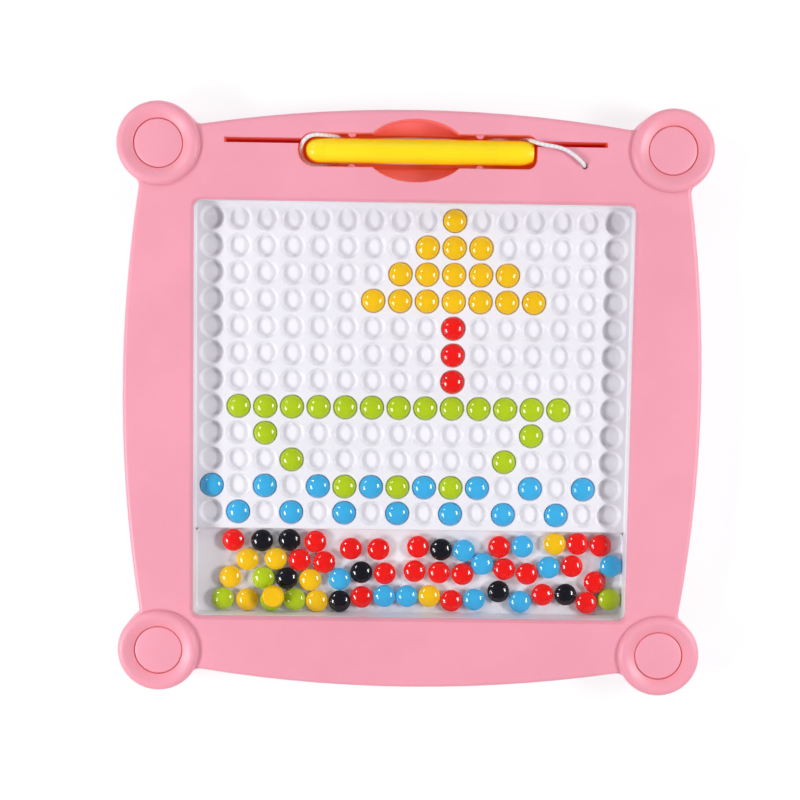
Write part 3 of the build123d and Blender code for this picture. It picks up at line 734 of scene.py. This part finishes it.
def boundaryOutline(halfX, low, high, corner, perArc, perSide):
    # A rounded rectangle from y = low to high, anticlockwise from its lower right corner.
    parts = []
    for cx, cy, start in ((halfX, low, -0.5), (halfX, high, 0), (-halfX, high, 0.5), (-halfX, low, 1)):
        middle = np.array([cx - math.copysign(corner, cx), cy + (corner if cy == low else -corner)])
        a = (start + np.linspace(0, 0.5, perArc)) * np.pi
        parts.append(middle + corner * np.stack([np.cos(a), np.sin(a)], 1))
    out = []
    for arc, nextArc in zip(parts, parts[1:] + parts[:1]):
        t = np.linspace(0, 1, perSide + 1)[1:-1, None]
        out += [arc, arc[-1] * (1 - t) + nextArc[0] * t]
    return np.vstack(out)


def outwardOf(outline):
    # Unit directions out of an anticlockwise outline.
    along = np.roll(outline, -1, 0) - np.roll(outline, 1, 0)
    out = np.stack([along[:, 1], -along[:, 0]], 1)
    return out / np.linalg.norm(out, axis=1)[:, None]


def carriedProfile(outline, outward, profile, wrap):
    # A profile of (outward offset, height) carried round an outline: one grid row for each profile point.
    rows = [np.column_stack([outline + outward * o, np.full(len(outline), h)]) for o, h in profile]
    return np.vstack(rows), gridFaces(len(profile), len(outline), wrapRows=wrap).tolist()


def boardLines(s):
    # The board's own lines, in mm: the pitch of its dimples, the chamber's sides, its ledge and its levels.
    low, high = (np.array(c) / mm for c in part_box("bead_board"))
    pitch = s["bead"] * s["pitchRatio"]
    top = high[1] - s["wall"]
    gridTop = top - s["topMargin"]
    gridLow = gridTop - s["rows"] * pitch
    plateTop = low[2] + s["plate"]
    return {
        "pitch": pitch, "halfX": s["columns"] * pitch / 2 + s["sideMargin"],
        "top": top, "bottom": low[1] + s["wall"],
        "gridTop": gridTop, "gridLow": gridLow, "ledge": gridLow - s["ledgeMargin"],
        "foot": low[2], "rim": high[2], "plateTop": plateTop, "trayTop": plateTop - s["trayDepth"],
    }


def dimpleCells(s, at):
    # One cell is a square outline, then rings of the dimple's section, a cone with a rounded rim and floor. It is
    # set out on the grid of columns and rows.
    n, pitch, plateTop = s["perSide"], at["pitch"], at["plateTop"]
    edge = np.linspace(-1, 1, n + 1)[:-1]
    square = np.concatenate([
        np.stack([np.ones(n), edge], 1), np.stack([-edge, np.ones(n)], 1),
        np.stack([-np.ones(n), -edge], 1), np.stack([edge, -np.ones(n)], 1),
    ]) * pitch / 2
    angle = np.arctan2(square[:, 1], square[:, 0])
    mouth = s["bead"] / 2 + s["mouthGap"]
    base = s["baseRadius"] + s["floorGap"]
    section = roundedProfile([
        (pitch / 2 - 0.01, plateTop, 0), (mouth, plateTop, s["rimRound"]),
        (base, plateTop - s["depth"], s["floorRound"]), (0, plateTop - s["depth"], 0),
    ], 4)[1:-1]
    section = np.vstack([section, [[base * s["floorRing"], plateTop - s["depth"]]]])
    cell = np.vstack([np.column_stack([square, np.full(4 * n, plateTop)]), swept(section, angle),
                      [[0, 0, plateTop - s["depth"]]]])
    cellFaces = gridFaces(len(section) + 1, 4 * n)
    j = np.arange(4 * n)
    last = len(section) * 4 * n
    hub = np.stack([last + j, last + (j + 1) % (4 * n), np.full(4 * n, len(cell) - 1)], -1)
    xs = (np.arange(s["columns"]) - (s["columns"] - 1) / 2) * pitch
    ys = at["gridTop"] - (np.arange(s["rows"]) + 0.5) * pitch
    spots = np.stack(np.meshgrid(xs, ys, [0.0]), -1).reshape(-1, 3)
    shift = np.arange(len(spots))[:, None, None] * len(cell)
    faces = (cellFaces[None] + shift).reshape(-1, 4).tolist() + (hub[None] + shift).reshape(-1, 3).tolist()
    return (cell[None] + spots[:, None]).reshape(-1, 3), faces


def plateMargin(s, at):
    # From the grid's outline out to the walls with a hollow fillet, and down over the ledge's brow. Each point
    # of the outline has a core point and a way out from it, round the corners too.
    n, halfX, ledge = s["perSide"], at["halfX"], at["ledge"]
    plateTop, gridTop, gridLow, foot = at["plateTop"], at["gridTop"], at["gridLow"], at["foot"]
    halfGrid = s["columns"] * at["pitch"] / 2
    acrossX = np.linspace(-1, 1, s["columns"] * n + 1) * halfGrid
    acrossY = np.linspace(gridLow, gridTop, s["rows"] * n + 1)
    inner = np.concatenate([
        np.stack([np.full(len(acrossY) - 1, halfGrid), acrossY[:-1]], 1),
        np.stack([acrossX[::-1][:-1], np.full(len(acrossX) - 1, gridTop)], 1),
        np.stack([np.full(len(acrossY) - 1, -halfGrid), acrossY[::-1][:-1]], 1),
        np.stack([acrossX[:-1], np.full(len(acrossX) - 1, gridLow)], 1),
    ])
    corner = s["corner"]
    coreX = np.clip(inner[:, 0], corner - halfX, halfX - corner)
    coreY = np.minimum(inner[:, 1], at["top"] - corner)
    onLedge = (inner[:, 1] <= gridLow + 1e-6) & (np.abs(inner[:, 0]) <= halfX - corner)
    coreX = np.where(onLedge, inner[:, 0], coreX)
    away = inner - np.stack([coreX, coreY], 1)
    away[onLedge] = (0, -1)
    length = np.maximum(np.linalg.norm(away, axis=1), 1e-9)[:, None]
    away = away / length
    outer = np.stack([coreX, coreY], 1) + corner * away
    outer[onLedge, 1] = ledge
    lowSide = ~onLedge & (inner[:, 1] <= gridLow + 1e-6)
    outer[lowSide] = np.stack([np.sign(inner[lowSide, 0]) * halfX, np.full(lowSide.sum(), ledge)], 1)
    away[lowSide] = np.stack([np.sign(inner[lowSide, 0]), np.zeros(lowSide.sum())], 1)
    f, b = s["fillet"], s["brow"]
    a = np.linspace(0, np.pi / 2, s["filletSteps"])
    up = np.column_stack([-f + f * np.sin(a), plateTop + f - f * np.cos(a)])
    down = np.column_stack([-b + b * np.sin(a), plateTop - b + b * np.cos(a)])
    up = np.vstack([up, [(s["tuck"], plateTop + f), (s["tuck"], foot + 1)]])
    down = np.vstack([down, [(0, at["trayTop"]), (0, foot + 1)]])
    rows = [np.column_stack([inner, np.full(len(inner), plateTop)])]
    least = np.where(lowSide, -1, length[:, 0] - corner)
    for (uo, uz), (do, dz) in zip(up, down):
        offset = np.where(onLedge, do, np.maximum(uo, least))[:, None]
        rows.append(np.column_stack([outer + away * offset, np.where(onLedge, dz, uz)]))
    faces = gridFaces(len(rows), len(inner))[:, ::-1].tolist()
    under = list(range((len(rows) - 1) * len(inner), len(rows) * len(inner)))
    return np.vstack(rows), faces + [under]


def chamberWalls(s, at):
    # One closed ring with a rounded top, carried round the chamber's outline.
    outline = boundaryOutline(at["halfX"], at["bottom"], at["top"], s["corner"], s["arcSteps"], s["sideSteps"])
    wall, wallRound, foot, rim = s["wall"], s["wallRound"], at["foot"], at["rim"]
    loop = roundedProfile([(0, foot, 0), (0, rim, wallRound), (wall, rim, wallRound), (wall, foot, 0)], 4)
    verts, faces = carriedProfile(outline, outwardOf(outline), loop, True)
    return verts, [face[::-1] for face in faces]


def trayFloor(s, at):
    # One closed slab with a hollow fillet round it.
    outline = boundaryOutline(at["halfX"], at["bottom"], at["ledge"], s["corner"], s["arcSteps"], s["sideSteps"])
    f, foot, trayTop = s["fillet"], at["foot"], at["trayTop"]
    a = np.linspace(np.pi / 2, 0, s["filletSteps"])
    bowl = [(-f + f * math.sin(t), trayTop + f - f * math.cos(t)) for t in a]
    bowl = [(s["tuck"], foot + 0.2), (s["tuck"], trayTop + f)] + bowl
    verts, faces = carriedProfile(outline, outwardOf(outline), bowl, False)
    count = len(outline)
    lid = list(range((len(bowl) - 1) * count, len(bowl) * count))
    return verts, faces + [lid, list(range(count))[::-1]]


def makeBoard(s):
    at = boardLines(s)
    shapes = [dimpleCells(s, at), plateMargin(s, at), chamberWalls(s, at), trayFloor(s, at)]
    verts, faces = joinShapes(shapes)
    piece = makePiece("dimpledBoard", verts * mm, faces)
    piece.data.set_sharp_from_angle(angle=math.radians(38))
    weld = piece.modifiers.new("weldSeams", "WELD")
    weld.merge_threshold = 2e-6
    finishPiece(piece, "board", finishes["whiteBoard"], "white_board", "bead_board")
    print("bead board made,", len(piece.data.polygons), "faces")


makeBoard(boardSet)


beadSet = {
    "radius": 5.8, "base": 4.9, "height": 5.2, "ball": 7.77, "edge": 1.2, "bellyLow": 1.8,
    "bellyRound": 0.8, "bellyHigh": 2.4, "dishRadius": 3.1, "dishEdge": 0.2, "dish": 0.09, "dishRound": 0.3,
    "footRound": 0.45, "segments": 36, "coreMiddle": 0.8,
}
beadFinish = {
    "sail_yellow": "yellowBead", "mast_red": "redBead", "hull_green": "greenBead", "waves_blue": "blueBead",
    "tray_red": "redBead", "tray_black": "blackBead", "tray_blue": "blueBead", "tray_yellow": "yellowBead",
    "tray_green": "greenBead", "under_bead": "greenBead", "stacked_bead": "yellowBead",
}
slotOf = {"yellowBead": "yellow_bead", "redBead": "red_bead", "greenBead": "green_bead",
          "blueBead": "blue_bead", "blackBead": "black_bead"}


def beadShape(s):
    # A shallow dish in the foot, a flared belly, then an edge arc that runs into the ball of the crown.
    lowPart = roundedProfile([
        (0, s["dish"], 0), (s["dishRadius"], s["dish"], s["dishRound"]),
        (s["dishRadius"] + s["dishEdge"], 0, s["dishRound"]), (s["base"], 0, s["footRound"]),
        (s["radius"], s["bellyLow"], s["bellyRound"]), (s["radius"], s["bellyHigh"], 0),
    ], 4)[:-1]
    ballZ = s["height"] - s["ball"]
    edgeX = s["radius"] - s["edge"]
    edgeZ = ballZ + math.sqrt((s["ball"] - s["edge"]) ** 2 - edgeX**2)
    slope = math.asin(edgeX / (s["ball"] - s["edge"]))
    a = np.linspace(math.pi / 2, slope, 5)
    edge = np.stack([edgeX + s["edge"] * np.sin(a), edgeZ + s["edge"] * np.cos(a)], 1)
    a = np.linspace(slope, 0, 8)[1:]
    crown = np.stack([s["ball"] * np.sin(a), ballZ + s["ball"] * np.cos(a)], 1)
    return turned(np.vstack([lowPart, edge, crown]) * mm, s["segments"])


def beadPlaces(name):
    # Where each bead of a group lies and which way its crown points, from its steel disc and its own shell.
    # Corners that triangles join take the lowest number among them, until each disc has one number.
    discs, triangles = weldedMesh(name + "_steel")
    shell = weldedMesh(name)[0]
    label = np.arange(len(discs))
    while True:
        lowest = label.copy()
        np.minimum.at(lowest, triangles.ravel(), np.repeat(label[triangles].min(1), 3))
        if (lowest == label).all():
            break
        label = lowest
    places = []
    for one in np.unique(label):
        disc = discs[label == one]
        middle = (disc.max(0) + disc.min(0)) / 2
        axis = np.linalg.svd(disc - middle)[2][2]
        around = shell[np.linalg.norm(shell - middle, axis=1) < beadSet["radius"] * mm] - middle
        axis = axis * np.sign((around @ axis).max() + (around @ axis).min())
        places.append((middle - axis * beadSet["coreMiddle"] * mm, axis))
    return places


def makeBeads():
    shape = beadShape(beadSet)
    total = 0
    for name, finish in beadFinish.items():
        places = beadPlaces(name)
        total += len(places)
        verts, faces = joinShapes([placed(shape, axis, spot) for spot, axis in places])
        piece = makePiece(name + "Shell", verts, faces)
        piece.data.set_sharp_from_angle(angle=math.radians(50))
        body = nodes[name]["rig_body"]
        finishPiece(piece, body, finishes[finish], slotOf[finish], name)
        steel = nodes[name + "_steel"].data
        steel.materials.clear()
        steel.materials.append(finishes["coreSteel"])
    print("beads made,", total)


makeBeads()


paintedShadeSet = {
    # how strong the painted shade and painted glow are: in the card slot, the pen's recess, the scoop and round
    # the caps
    "slot": 1.0, "recess": 0.75, "scoop": 0.3, "capSeat": 0.12,
    "fade": 1.6,            # mm below the flat top for the whole change
    "topAboveWindow": 2.3,
    "slotHalf": (96.3, 1.45), "slotAbove": 4.1, "recessHalf": 8.55, "recessEnds": (-59.4, 61.1),
    "scoopHalf": (26.0, 15.7), "capRadius": 12.6,
    "nub": (32.3, 8.65, 2.3), "nubTop": 0.5,
}


def markPaintedShade(piece):
    # The mask for painted shade and a painted glow: each pocket's own value inside its outline, times a smooth
    # step of depth, and a fixed value round the caps above the window.
    s = paintedShadeSet
    co = np.zeros(len(piece.data.vertices) * 3)
    piece.data.vertices.foreach_get("co", co)
    x, y, z = co.reshape(-1, 3).T / mm
    low, high = (np.array(c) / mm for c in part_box("pen_barrel"))
    recessY, penZ = (low[1:] + high[1:]) / 2
    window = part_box("clear_window")[1].z / mm
    flatTop = window + s["topAboveWindow"]
    slot = (np.abs(x) < s["slotHalf"][0]) & (np.abs(y - recessY - s["slotAbove"]) < s["slotHalf"][1])
    recess = (x > s["recessEnds"][0]) & (x < s["recessEnds"][1]) & (np.abs(y - recessY) < s["recessHalf"])
    scoop = (x / s["scoopHalf"][0]) ** 2 + ((y - recessY) / s["scoopHalf"][1]) ** 2 < 1
    nubX, nubY, nubReach = s["nub"]
    nub = (np.hypot(np.abs(x) - nubX, np.abs(y - recessY) - nubY) < nubReach) & (z > penZ + s["nubTop"])
    value = np.where(slot, s["slot"], np.where(recess, s["recess"], np.where(scoop, s["scoop"], 0)))
    value = np.where(nub, 0, value)
    depth = np.clip((flatTop - z) / s["fade"], 0, 1)
    value = value * depth * depth * (3 - 2 * depth)
    # painted shade round the caps' seats, above the window
    for corner in ("top_left", "top_right", "bottom_left", "bottom_right"):
        low, high = (np.array(c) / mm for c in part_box("corner_cap_" + corner))
        far = np.hypot(x - (low[0] + high[0]) / 2, y - (low[1] + high[1]) / 2)
        value = np.where((far < s["capRadius"]) & (z > window), s["capSeat"], value)
    mark = piece.data.attributes.new("paintedShade", "FLOAT", "POINT")
    mark.data.foreach_set("value", value.astype(np.float32))


def dressCase():
    shell = weldedCopy("front_frame", "frontFrameShell")
    markPaintedShade(shell)
    finishPiece(shell, "board", finishes["pinkFrameWithPaintedShade"], "pink_case")
    finishPiece(weldedCopy("back_cover", "backCoverShell"), "board", finishes["pinkCase"], "pink_case")
    window = nodes["clear_window"].data
    window.materials.clear()
    window.materials.append(finishes["clearWindow"])
    print("case dressed")


capSet = {"radius": 12.1, "edge": 1.4, "crown": 0.9, "round": 1.0, "footRound": 0.2, "crownReach": 1.8}
footSet = {
    "radius": 8.0, "height": 2.0, "round": 0.7, "fine": 0.1,
    "dimple": 2.2, "dimpleEdge": 2.5, "grooveAt": 4.2, "groove": 0.25,
}


def makeCaps():
    # Each cap is a disc with a rounded edge and a shallow ball crown. Each foot is a disc with a shallow
    # dimple and a groove of V section round it.
    s, t = capSet, footSet
    ball = (s["radius"] ** 2 + s["crown"] ** 2) / (2 * s["crown"])
    r = np.linspace(s["radius"] - s["crownReach"], 0, 10)
    crown = np.stack([r, s["edge"] + s["crown"] - ball + np.sqrt(ball**2 - r**2)], 1)
    rise = s["edge"] + s["crown"] - ball + math.sqrt(ball**2 - s["radius"] ** 2)
    low = roundedProfile([
        (0, 0, 0), (s["radius"], 0, s["footRound"]), (s["radius"], rise, s["round"]), (*crown[0], 0),
    ], 5)
    capShape = turned(np.vstack([low[:-1], crown]) * mm, 96)
    g, at, fine = t["groove"], t["grooveAt"], t["fine"]
    footShape = turned(roundedProfile([
        (0, g, 0), (t["dimple"], g, fine), (t["dimpleEdge"], 0, fine),
        (at, 0, fine), (at + g, g, fine), (at + 2 * g, 0, fine),
        (t["radius"], 0, t["round"]), (t["radius"], t["height"], fine), (0, t["height"], 0),
    ], 4) * mm, 72)
    for corner in ("top_left", "top_right", "bottom_left", "bottom_right"):
        low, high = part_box("corner_cap_" + corner)
        spot = ((low.x + high.x) / 2, (low.y + high.y) / 2, high.z - (s["edge"] + s["crown"]) * mm)
        verts, faces = placed(capShape, (0, 0, 1), spot)
        piece = makePiece("cap_" + corner, verts, faces)
        finishPiece(piece, "board", finishes["pinkCase"], "pink_case", "corner_cap_" + corner)
        low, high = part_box("rubber_foot_" + corner)
        verts, faces = placed(footShape, (0, 0, 1), ((low.x + high.x) / 2, (low.y + high.y) / 2, low.z))
        piece = makePiece("foot_" + corner, verts, faces)
        finishPiece(piece, "board", finishes["footRubber"], "foot_rubber", "rubber_foot_" + corner)
    print("caps and feet made")


def dressScrews():
    piece = weldedCopy("case_screws", "caseScrewSet")
    finishPiece(piece, "board", finishes["screwSteel"], "screw_steel")


dressCase()
makeCaps()
dressScrews()


penSet = {
    "radius": 6.25, "bore": 5.0, "seam": 0.12, "segments": 64,
    "spigot": 6.0, "spigotGap": 0.05, "spigotRound": 0.3,
}


def makePen():
    # Nose and barrel are turned about the pen's axis, and the tail keeps its own shape with the cord's eye.
    s = penSet
    low, high = (np.array(c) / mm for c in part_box("pen_barrel"))
    axis = np.array([(low[1] + high[1]) / 2, (low[2] + high[2]) / 2])
    start, end = low[0], high[0]
    loop = roundedProfile([
        (s["bore"], (start + end) / 2, 0), (s["bore"], start, 0), (s["radius"], start, s["seam"]),
        (s["radius"], end, s["seam"]), (s["bore"], end, 0), (s["bore"], (start + end) / 2, 0),
    ], 4)[:-1]
    barrel = ringTurned(loop, s["segments"])
    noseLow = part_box("pen_nose")[0].x / mm
    spigot = s["bore"] - s["spigotGap"]
    a = np.linspace(0, np.pi / 2, 16)
    ball = np.stack([s["radius"] * np.sin(a), noseLow + s["radius"] - s["radius"] * np.cos(a)], 1)
    neck = roundedProfile([
        (*ball[-1], 0), (s["radius"], start, s["seam"]), (spigot, start, 0),
        (spigot, start + s["spigot"], s["spigotRound"]), (0, start + s["spigot"], 0),
    ], 4)[1:]
    nose = turned(np.vstack([ball, neck]), s["segments"])
    shapes = ((barrel, "penBarrelTube", "pen_barrel"), (nose, "penNoseShell", "pen_nose"))
    for (verts, faces), name, node in shapes:
        turnedVerts = np.stack([verts[:, 2], verts[:, 0] + axis[0], verts[:, 1] + axis[1]], 1) * mm
        piece = makePiece(name, turnedVerts, faces)
        piece.data.set_sharp_from_angle(angle=math.radians(40))
        finishPiece(piece, "pen", finishes["yellowPen"], "yellow_pen", node)
    tail = weldedCopy("pen_tail_cap", "penTailShell")
    finishPiece(tail, "pen", finishes["yellowPen"], "yellow_pen")
    magnet = nodes["pen_magnet"].data
    magnet.materials.clear()
    magnet.materials.append(finishes["magnetNickel"])
    print("pen made")


makePen()


def makeFloor(s):
    half = s["size"] / 2
    corners = [(-half, -half, 0), (half, -half, 0), (half, half, 0), (-half, half, 0)]
    piece = makePiece("studioFloor", corners, [(0, 1, 2, 3)], smooth=False)
    material, tree, shader = newMaterial("paleFloor")
    place = newNode(tree, "TexCoord")
    cloud = newNode(tree, "TexNoise")
    setInputs(cloud, Scale=3.0, Detail=2.0)
    rough = newNode(tree, "MapRange")
    setInputs(rough, **{"To Min": 0.8, "To Max": 0.9})
    tree.links.new(place.outputs["Object"], cloud.inputs["Vector"])
    tree.links.new(cloud.outputs["Fac"], rough.inputs["Value"])
    tree.links.new(rough.outputs["Result"], shader.inputs["Roughness"])
    shade = [c * s["diffuse"] for c in s["colour"][:3]]
    setInputs(shader, **{"Base Color": (*shade, 1)})
    setInputs(shader, **{"Emission Color": s["colour"], "Emission Strength": s["glow"]})
    piece.data.materials.append(material)


makeFloor(floorSet)
